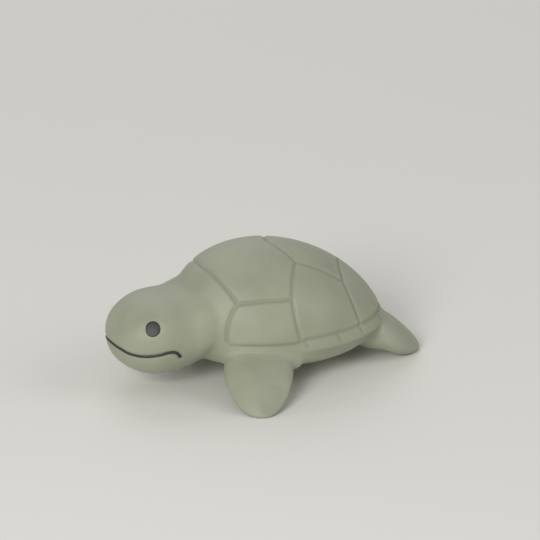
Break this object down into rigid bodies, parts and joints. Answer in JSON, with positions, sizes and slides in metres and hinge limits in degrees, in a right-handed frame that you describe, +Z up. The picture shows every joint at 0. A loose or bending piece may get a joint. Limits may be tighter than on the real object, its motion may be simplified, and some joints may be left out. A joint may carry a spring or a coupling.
{
  "type": "turtle bath toy",
  "caption": "Sage green natural rubber turtle bath toy, 95 mm long: a domed shell with moulded scutes, a painted face and four soft flippers that it stands on.",
  "frame": {"origin": "on the ground below the middle of the toy's overall length and width", "axes": "+Z up, -Y ahead of the turtle's beak, +X towards the turtle's left side"},
  "size_m": [0.0754, 0.0952, 0.039],
  "materials": {
    "sage_rubber": "matte moulded natural rubber",
    "dark_paint": "thin satin rubber paint"
  },
  "bodies": {
    "body": {"carapace": "sage_rubber", "plastron": "sage_rubber", "belly_plug": "sage_rubber"},
    "head": {"head": "sage_rubber", "left_eye": "dark_paint", "right_eye": "dark_paint", "mouth_line": "dark_paint"},
    "front_left_flipper": {"front_left_flipper": "sage_rubber"},
    "front_right_flipper": {"front_right_flipper": "sage_rubber"},
    "hind_left_flipper": {"hind_left_flipper": "sage_rubber"},
    "hind_right_flipper": {"hind_right_flipper": "sage_rubber"}
  },
  "joints": [
    {"name": "head_nod", "type": "hinge", "parent": "body", "child": "head", "pos_m": [0, -0.02682, 0.016], "axis": [-1, 0, 0], "range_deg": [-10, 10], "stiffness_Nm_per_rad": 1.75},
    {"name": "front_left_flap", "type": "hinge", "parent": "body", "child": "front_left_flipper", "pos_m": [0.02147, -0.01013, 0.0082], "axis": [-0.4226, -0.9063, 0], "range_deg": [-10, 15], "stiffness_Nm_per_rad": 0.23},
    {"name": "front_right_flap", "type": "hinge", "parent": "body", "child": "front_right_flipper", "pos_m": [-0.02147, -0.01013, 0.0082], "axis": [-0.4226, 0.9063, 0], "range_deg": [-10, 15], "stiffness_Nm_per_rad": 0.23},
    {"name": "hind_left_flap", "type": "hinge", "parent": "body", "child": "hind_left_flipper", "pos_m": [0.00856, 0.03634, 0.0078], "axis": [0.9063, -0.4226, 0], "range_deg": [-10, 15], "stiffness_Nm_per_rad": 0.2},
    {"name": "hind_right_flap", "type": "hinge", "parent": "body", "child": "hind_right_flipper", "pos_m": [-0.00856, 0.03634, 0.0078], "axis": [0.9063, 0.4226, 0], "range_deg": [-10, 15], "stiffness_Nm_per_rad": 0.2}
  ]
}
